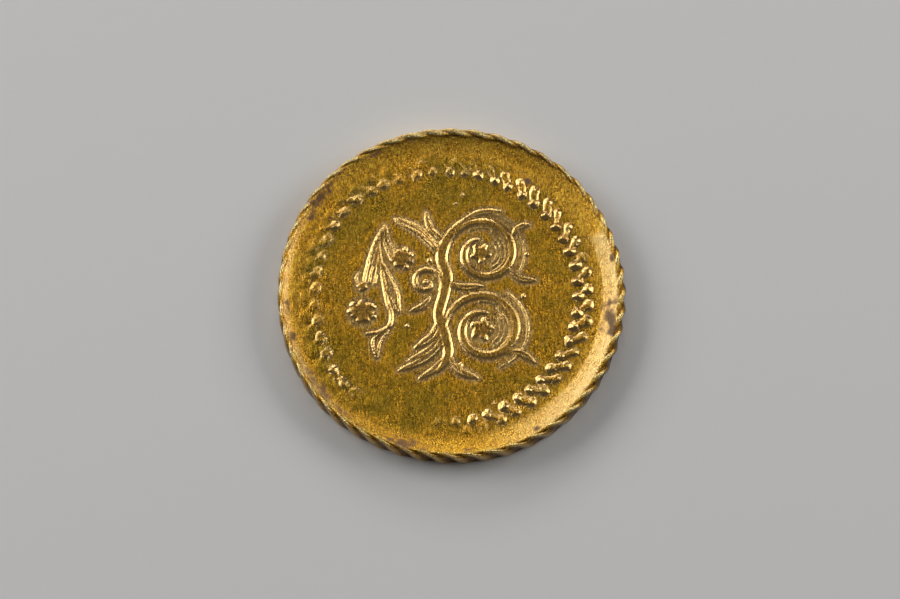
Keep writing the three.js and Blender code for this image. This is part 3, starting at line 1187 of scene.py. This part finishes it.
# ---------------------------------------------------------------- finishes
class Nodes:
    """Short ways to place and join shader nodes in one tree."""

    def __init__(self, tree: bpy.types.NodeTree) -> None:
        """Keeps the tree to work in."""
        self.tree = tree

    def link(self, value: object, socket: Socket) -> None:
        """Joins a socket to another, or sets it to a plain value.

        Args:
            value: A socket, a number or a colour.
            socket: What takes it.
        """
        if isinstance(value, Socket):
            self.tree.links.new(value, socket)
        else:
            socket.default_value = value

    def feed(self, node: bpy.types.Node, inputs: dict[str | int, object]) -> None:
        """Joins or sets a node's inputs, given by name or number."""
        for name, value in inputs.items():
            self.link(value, node.inputs[name])

    def add(self, kind: str, inputs: dict[str | int, object] | None = None,
            **settings: object) -> bpy.types.Node:
        """Adds a node.

        Args:
            kind: The node's type.
            inputs: What goes into its sockets, by name or number.
            settings: Its own properties.

        Returns:
            The node.
        """
        node = self.tree.nodes.new(kind)
        for name, value in settings.items():
            setattr(node, name, value)
        self.feed(node, inputs or {})
        return node

    def mark(self, name: str) -> Socket:
        """The mesh's mark of that name."""
        return self.add("ShaderNodeAttribute", attribute_name=name).outputs["Fac"]

    def math(self, operation: str, a: object, b: object = 0.0, clamp: bool = False) -> Socket:
        """One arithmetic step."""
        return self.add("ShaderNodeMath", {0: a, 1: b}, operation=operation, use_clamp=clamp).outputs[0]

    def times(self, a: object, b: object) -> Socket:
        """The product of two values."""
        return self.math("MULTIPLY", a, b)

    def ramp(self, value: object, low: float, high: float, to_low: float = 0.0,
             to_high: float = 1.0) -> Socket:
        """A clipped straight line from (low, to_low) to (high, to_high)."""
        given = dict(enumerate((value, low, high, to_low, to_high)))
        return self.add("ShaderNodeMapRange", given).outputs[0]

    def mix(self, share: object, first: object, second: object, blend: str = "MIX") -> Socket:
        """Blends two colours by a share."""
        given = {"Factor": share, 6: first, 7: second}
        return self.add("ShaderNodeMix", given, data_type="RGBA", blend_type=blend).outputs[2]

    def layered(self, colour: object, *layers: tuple[object, object]) -> Socket:
        """Lays colours over one another in turn, each given as its share and its colour.

        Args:
            colour: What lies at the bottom.
            layers: A share and a colour for each layer.

        Returns:
            The blended colour.
        """
        for share, over in layers:
            colour = self.mix(share, colour, over)
        return colour

    def noise(self, place: object, size_mm: float, detail: float = 2.0, roughness: float = 0.5,
              distortion: float = 0.0) -> Socket:
        """Noise whose lumps are about size_mm across.

        Args:
            place: Coordinates to read.
            size_mm: Size of the lumps.
            detail, roughness, distortion: How fine, rough and twisted they are.

        Returns:
            The noise, 0 to 1.
        """
        given = {"Vector": place, "Scale": 1.0 / (size_mm * MM), "Detail": detail,
                 "Roughness": roughness, "Distortion": distortion}
        return self.add("ShaderNodeTexNoise", given).outputs["Fac"]

    def object_place(self, scale: tuple[float, float, float] = (1, 1, 1),
                     turn_z: float = 0.0) -> Socket:
        """Object coordinates, turned about the upright axis and stretched.

        Args:
            scale: Stretch along each axis.
            turn_z: Turn, in degrees.

        Returns:
            The coordinates.
        """
        given = {"Vector": self.add("ShaderNodeTexCoord").outputs["Object"],
                 "Rotation": (0.0, 0.0, math.radians(turn_z)), "Scale": scale}
        return self.add("ShaderNodeMapping", given).outputs["Vector"]

    def grained(self, grain: bpy.types.NodeTree, place: object, size_mm: float) -> bpy.types.Node:
        """Places the shared grain group, with lumps of about size_mm."""
        given = {"Place": place, "Fineness": 1.0 / (size_mm * MM)}
        return self.add("ShaderNodeGroup", given, node_tree=grain)


def new_material(name: str) -> tuple[bpy.types.Material, Nodes, bpy.types.Node]:
    """Makes a material ready for its nodes.

    Args:
        name: Its name.

    Returns:
        The material, its nodes and its Principled shader.
    """
    made = bpy.data.materials.new(name)
    made.use_nodes = True
    return made, Nodes(made.node_tree), made.node_tree.nodes["Principled BSDF"]


def grain_group() -> bpy.types.NodeTree:
    """The fine grain that metal and floor share: lumps of a given size, and rarer specks, which the metal
    paints pale as glints.

    Returns:
        A node group with inputs Place and Fineness, and outputs Grain and Specks.
    """
    tree = bpy.data.node_groups.new("fine_grain", "ShaderNodeTree")
    for name, way, kind in (("Place", "INPUT", "Vector"), ("Fineness", "INPUT", "Float"),
                            ("Grain", "OUTPUT", "Float"), ("Specks", "OUTPUT", "Float")):
        tree.interface.new_socket(name, in_out=way, socket_type="NodeSocket" + kind)
    nodes = Nodes(tree)
    given, result = nodes.add("NodeGroupInput"), nodes.add("NodeGroupOutput")
    lumps = nodes.add("ShaderNodeTexNoise", {"Detail": 3.0, "Roughness": 0.62})
    cells = nodes.add("ShaderNodeTexNoise", {"Detail": 1.0})
    for node, factor in ((lumps, 1.0), (cells, 1.7)):
        nodes.feed(node, {"Vector": given.outputs["Place"],
                          "Scale": nodes.times(given.outputs["Fineness"], factor)})
    nodes.feed(result, {"Grain": lumps.outputs["Fac"],
                        "Specks": nodes.ramp(cells.outputs["Fac"], 0.60, 0.70)})
    return tree


@dataclass(frozen=True)
class StruckGold:
    """Old gold, olive and orange, pale where worn and with painted highlights, dark with painted shade.

    Attributes:
        flat: Colour of the open field.
        toned: Orange tone beside the relief and the lip.
        outer: Brighter gold outside the ring of links.
        ground: Rosier ground within the relief.
        rubbed_and_highlight: Pale colour of worn high places, and of painted highlights on them and
            elsewhere.
        deep: Dark colour of painted shade in hollows, grooves and the step inside the lip.
        dirt: Colour of old dirt.
        wall: Dark colour of painted shade on the outer wall.
        roughness: Roughness of the field.
        grain_size, pebble_size, mottle_size, patch_size: Sizes of the lumps, in millimetres.
        depths: Heights that grain, pebbles, mottling and hairlines stand proud, in millimetres.
    """

    flat: Colour = (0.325, 0.190, 0.009, 1)
    toned: Colour = (0.57, 0.278, 0.014, 1)
    outer: Colour = (0.88, 0.440, 0.042, 1)
    ground: Colour = (0.98, 0.56, 0.19, 1)
    rubbed_and_highlight: Colour = (1.0, 0.665, 0.27, 1)
    deep: Colour = (0.15, 0.075, 0.012, 1)
    dirt: Colour = (0.14, 0.070, 0.050, 1)
    wall: Colour = (0.055, 0.034, 0.014, 1)
    roughness: float = 0.25
    grain_size: float = 0.055
    pebble_size: float = 0.16
    mottle_size: float = 0.55
    patch_size: float = 2.6
    depths: tuple[float, float, float, float] = (0.052, 0.008, 0.018, -0.006)

    def material(self, grain: bpy.types.NodeTree) -> bpy.types.Material:
        """Builds the metal.

        Args:
            grain: The shared grain group.

        Returns:
            The material.
        """
        made, nodes, shader = new_material("struck_gold")
        place = nodes.object_place()
        fine = nodes.grained(grain, place, self.grain_size)
        relief, near, hollow, dirt, flank, climb, edge, wall, painted_highlight, outer = map(nodes.mark, Skin.MARKS)
        patch = nodes.noise(place, self.patch_size, 4.0, 0.6, 0.4)
        mottle = nodes.noise(place, self.mottle_size, 3.0, 0.6)
        pebble = nodes.noise(place, self.pebble_size, 2.0, 0.6)
        streak = nodes.noise(nodes.object_place((1.0, 0.22, 1.0), 4.0), self.grain_size, 2.0, 0.6)
        hair = nodes.noise(nodes.object_place((1.0, 0.05, 1.0), -4.0), 0.13, 1.0)
        grey = nodes.math("ADD", nodes.times(fine.outputs["Grain"], 0.5), nodes.times(streak, 0.5))
        # High places are painted pale: partly wear, partly a painted highlight.
        high = nodes.ramp(hollow, -0.20, -0.8)

        # Shares of each layer: crests, the lit slope and glints take painted highlight, hollows take
        # painted shade; the rest are the metal's own tones.
        shares = {
            "patches": nodes.ramp(patch, 0.42, 0.62, 0.0, 0.8),
            "ring": nodes.times(outer, nodes.ramp(mottle, 0.3, 0.6, 0.55, 1.0)),
            "around": nodes.times(nodes.ramp(near, 0.0, 0.6), nodes.ramp(mottle, 0.35, 0.6, 0.35, 0.9)),
            "between": nodes.times(nodes.ramp(near, 0.6, 0.95), nodes.ramp(relief, 0.6, 0.2, 0.25, 0.75)),
            "slope": nodes.times(nodes.times(nodes.ramp(climb, 0.0, 0.25), nodes.ramp(climb, 0.95, 0.5)),
                                 nodes.ramp(patch, 0.45, 0.65, 0.0, 0.7)),
            # Painted highlight along the rope's crests.
            "crest": nodes.times(nodes.ramp(edge, 0.06, 0.20), nodes.ramp(hollow, 0.1, -0.5)),
            # Painted highlight on the lit side of the slope and the lip.
            "rubbed_and_highlight": nodes.times(painted_highlight, nodes.ramp(mottle, 0.3, 0.7, 0.65, 1.0)),
            # Painted shade in hollows and grooves, stronger up the slope and on the edge.
            "low": nodes.times(nodes.ramp(hollow, 0.06, 0.70), nodes.ramp(climb, 0.2, 0.8, 0.48, 0.92)),
            # Painted glints: grain specks painted pale.
            "glint": nodes.times(fine.outputs["Specks"], nodes.ramp(edge, 0.0, 0.4, 0.55, 0.2)),
        }
        # Layers: tones, then pale paint on high places (wear and painted highlight), flanks and crests
        # (painted highlight), then dark paint on the wall and in hollows (painted shade).
        colour = nodes.layered(
            self.flat, (shares["patches"], self.toned), (shares["ring"], self.outer),
            (shares["around"], self.toned), (shares["between"], self.ground),
            (shares["slope"], self.toned), (nodes.times(high, 0.55), self.rubbed_and_highlight),
            (nodes.times(flank, 0.60), self.rubbed_and_highlight), (nodes.times(shares["crest"], 0.85), self.rubbed_and_highlight),
            (shares["rubbed_and_highlight"], self.rubbed_and_highlight), (wall, self.wall), (shares["low"], self.deep))
        # Grain and streaks darken and brighten the colour: partly the metal's grain, partly painted
        # glints for its sparkle.
        speckle = nodes.ramp(grey, 0.42, 0.62, 0.42, 2.0)
        shade = nodes.add("ShaderNodeCombineColor", dict.fromkeys(range(3), speckle))
        plain = nodes.math("MAXIMUM", painted_highlight, flank)
        colour = nodes.mix(nodes.ramp(plain, 0.0, 1.0, 1.0, 0.35), colour, shade.outputs[0], "MULTIPLY")
        # Painted glints, then real dirt.
        colour = nodes.layered(colour, (shares["glint"], self.rubbed_and_highlight),
                               (nodes.times(dirt, 0.78), self.dirt))

        rough = nodes.ramp(mottle, 0.3, 0.7, self.roughness - 0.05, self.roughness + 0.09)
        smooth = nodes.times(nodes.math("MAXIMUM", high, flank), 0.08)
        rough = nodes.math("SUBTRACT", rough, smooth)
        rough = nodes.math("ADD", rough, nodes.times(dirt, 0.35), clamp=True)

        level = nodes.times(grey, self.depths[0])
        for part, depth in zip((pebble, mottle, nodes.ramp(hair, 0.66, 0.74)), self.depths[1:]):
            level = nodes.math("ADD", level, nodes.times(part, depth))
        level = nodes.times(level, nodes.ramp(near, 0.5, 1.0, 1.0, 0.6))
        level = nodes.times(level, nodes.ramp(flank, 0.0, 1.0, 1.0, 0.30))
        bump = nodes.add("ShaderNodeBump", {"Strength": 1.0, "Distance": MM, "Height": level})
        nodes.feed(shader, {"Base Color": colour, "Roughness": rough,
                            "Metallic": nodes.ramp(dirt, 0.1, 0.9, 1.0, 0.25),
                            "Normal": bump.outputs["Normal"]})
        return made


@dataclass(frozen=True)
class PaleFloor:
    """A plain pale sheet to stand on.

    Attributes:
        tone: Its colour.
        half: Half its width, in metres.
        grain_size: Size of its lumps, in millimetres.
    """

    tone: Colour = (0.90, 0.89, 0.875, 1)
    half: float = 0.5
    grain_size: float = 0.9

    def build(self, grain: bpy.types.NodeTree) -> bpy.types.Object:
        """Builds the floor, level with the coin's underside.

        Args:
            grain: The shared grain group.

        Returns:
            The floor's object.
        """
        mesh = bpy.data.meshes.new("floor")
        h = self.half
        mesh.from_pydata([(-h, -h, 0), (h, -h, 0), (h, h, 0), (-h, h, 0)], [], [(0, 1, 2, 3)])
        made, nodes, shader = new_material("pale_floor")
        fine = nodes.grained(grain, nodes.object_place(), self.grain_size)
        darker = tuple(0.985 * part for part in self.tone[:3]) + (1,)
        colour = nodes.mix(fine.outputs["Grain"], darker, self.tone)
        nodes.feed(shader, {"Base Color": colour, "Roughness": 0.9, "Specular IOR Level": 0.1})
        mesh.materials.append(made)
        return linked("floor", mesh)


# ---------------------------------------------------------------- studio
@dataclass(frozen=True)
class SoftBox:
    """A soft rectangular light that looks at the coin.

    Attributes:
        name: What it is called.
        towards: Direction from the coin to the light.
        distance: How far away it hangs, in metres.
        width, height: Its size, in metres.
        radiance: How bright its face is.
    """

    name: str
    towards: tuple[float, float, float]
    distance: float
    width: float
    height: float
    radiance: float

    def build(self) -> bpy.types.Object:
        """Makes the light; its power is radiance times area times pi.

        Returns:
            The light's object.
        """
        data = bpy.data.lights.new(self.name, "AREA")
        data.shape = "RECTANGLE"
        data.size, data.size_y = self.width, self.height
        data.energy = self.radiance * self.width * self.height * math.pi
        lamp = linked(self.name, data)
        way = Vector(self.towards).normalized()
        lamp.location = way * self.distance
        lamp.rotation_euler = way.to_track_quat("Z", "Y").to_euler()
        return lamp


@dataclass(frozen=True)
class Studio:
    """Pale room, soft boxes at both sides, at the far side and above, and the camera.

    Attributes:
        elevation: How high the camera stands, in degrees.
        lens: Its lens, in millimetres.
        seen_width: Width of the view at the coin, in millimetres.
        aim: The point that it looks at, in millimetres.
        backdrop: What the camera sees behind everything.
        gloom: What the gold reflects from the room.
        boxes: The soft lights.
    """

    elevation: float = 72.0
    lens: float = 150.0
    seen_width: float = 48.85
    aim: tuple[float, float, float] = (-0.085, -0.36, 0.75)
    backdrop: Colour = (0.70, 0.70, 0.69, 1)
    gloom: Colour = (0.08, 0.08, 0.08, 1)
    boxes: tuple[SoftBox, ...] = (
        SoftBox("west_box", (-0.76, 0.38, 0.46), 0.40, 0.30, 0.20, 3.7),
        SoftBox("east_box", (0.84, 0.26, 0.46), 0.40, 0.26, 0.18, 3.5),
        SoftBox("north_box", (-0.15, 0.92, 0.34), 0.60, 0.44, 0.14, 4.2),
        SoftBox("top_box", (0.0, 0.15, 0.98), 0.60, 0.60, 0.55, 0.16),
    )

    def build(self) -> None:
        """Sets the room's light, the boxes and the camera."""
        scene = bpy.context.scene
        world = bpy.data.worlds.new("room")
        world.use_nodes = True
        scene.world = world
        nodes = Nodes(world.node_tree)
        back = world.node_tree.nodes["Background"]
        seen = nodes.add("ShaderNodeLightPath").outputs["Is Camera Ray"]
        nodes.link(nodes.mix(seen, self.gloom, self.backdrop), back.inputs["Color"])
        for box in self.boxes:
            box.build()

        data = bpy.data.cameras.new("camera")
        data.lens, data.sensor_width = self.lens, 36.0
        data.clip_start, data.clip_end = 0.01, 50.0
        camera = linked("camera", data)
        away = self.seen_width * MM * data.lens / data.sensor_width
        lift = math.radians(self.elevation)
        way = Vector((0.0, -math.cos(lift), math.sin(lift)))
        camera.location = Vector(self.aim) * MM + way * away
        camera.rotation_euler = way.to_track_quat("Z", "Y").to_euler()
        scene.camera = camera
        scene.view_settings.view_transform = "Standard"


def main() -> None:
    """Builds the studio, the floor and the coin, and logs the coin's triangle count."""
    grain = grain_group()
    Studio().build()
    floor = PaleFloor().build(grain)

    coin = StruckCoin().build()
    coin.data.materials.append(StruckGold().material(grain))
    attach(coin, BODY)
    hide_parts(COIN_NODE)


if __name__ == "__main__":
    main()
